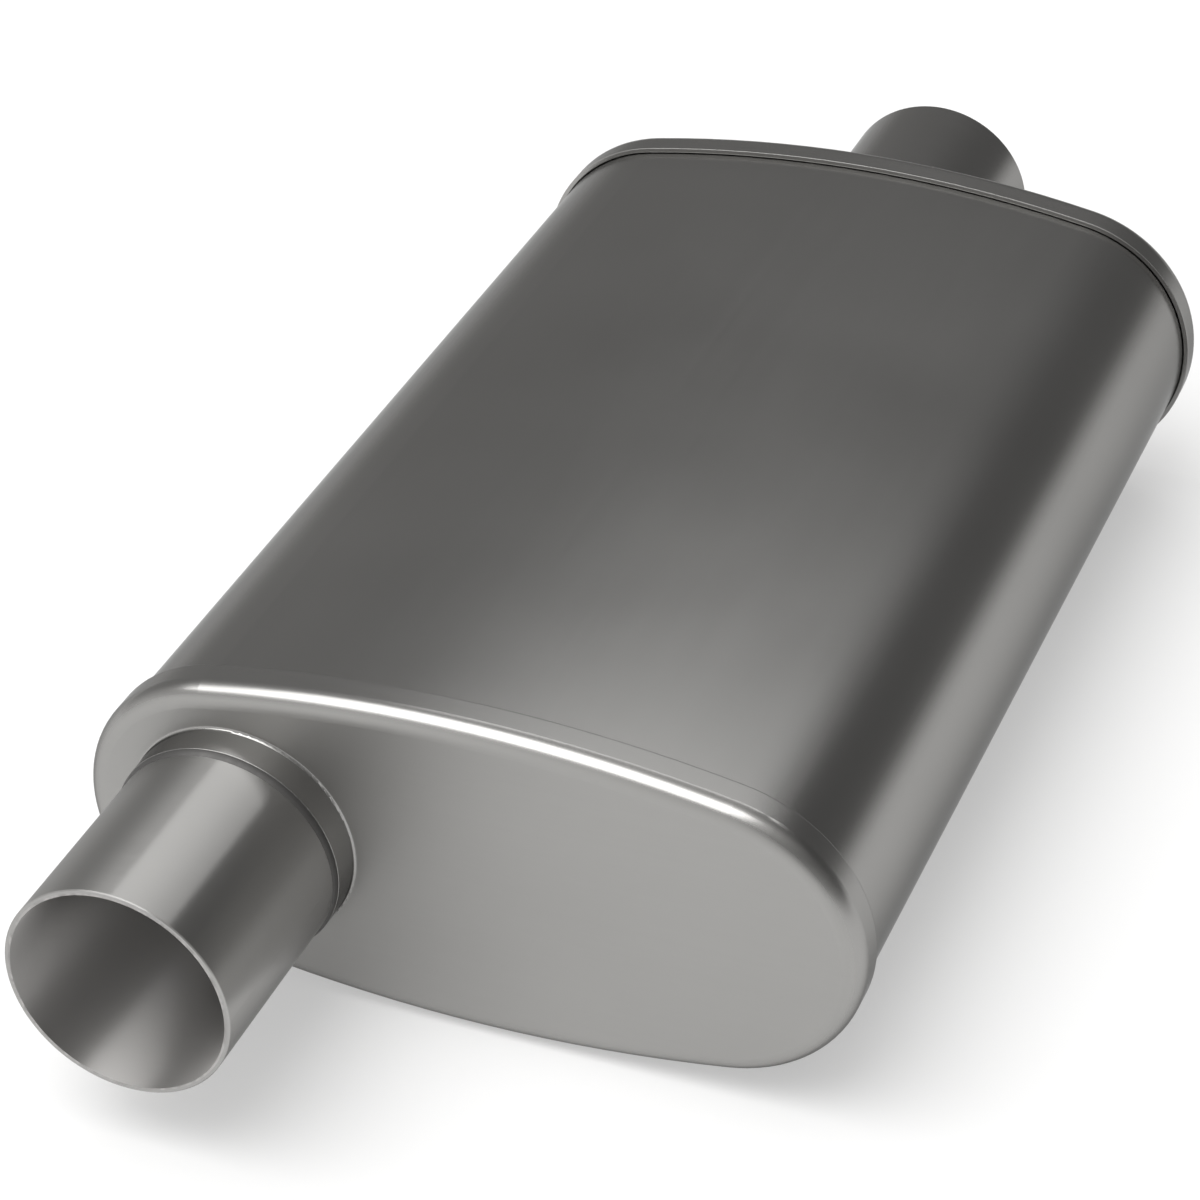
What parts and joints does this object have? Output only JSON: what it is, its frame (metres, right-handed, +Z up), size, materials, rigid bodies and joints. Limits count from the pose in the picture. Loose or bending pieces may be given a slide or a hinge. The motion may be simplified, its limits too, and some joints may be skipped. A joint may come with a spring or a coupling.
{
  "type": "straight-through muffler",
  "caption": "Oval straight-through exhaust muffler with an offset inlet neck, a centred outlet neck, pressed end caps and a slanted perforated core inside.",
  "frame": {"origin": "middle of the oval body, on its centre line", "axes": "+X across the body, away from the offset inlet neck; +Y along the gas flow, from the inlet to the outlet; +Z up, across the flat of the oval"},
  "size_m": [0.2322, 0.508, 0.1052],
  "materials": {
    "shell_steel": "satin rolled stainless sheet",
    "cap_steel": "satin pressed stainless sheet",
    "neck_steel": "satin stainless tube",
    "weld_steel": "smooth weld bead, unpolished",
    "core_steel": "mill finish, punched",
    "steel_wool": "stainless wool, matt",
    "glass_mat": "needled glass-fibre mat"
  },
  "bodies": {
    "root": {"shell": "shell_steel", "shell_seam_weld": "weld_steel", "inlet_end_cap": "cap_steel", "outlet_end_cap": "cap_steel", "inlet_neck": "neck_steel", "outlet_neck": "neck_steel", "inlet_collar_weld": "weld_steel", "outlet_collar_weld": "weld_steel", "perforated_core": "core_steel", "inlet_core_weld": "weld_steel", "outlet_core_weld": "weld_steel", "mesh_sleeve": "steel_wool", "packing_mat": "glass_mat"}
  },
  "joints": []
}
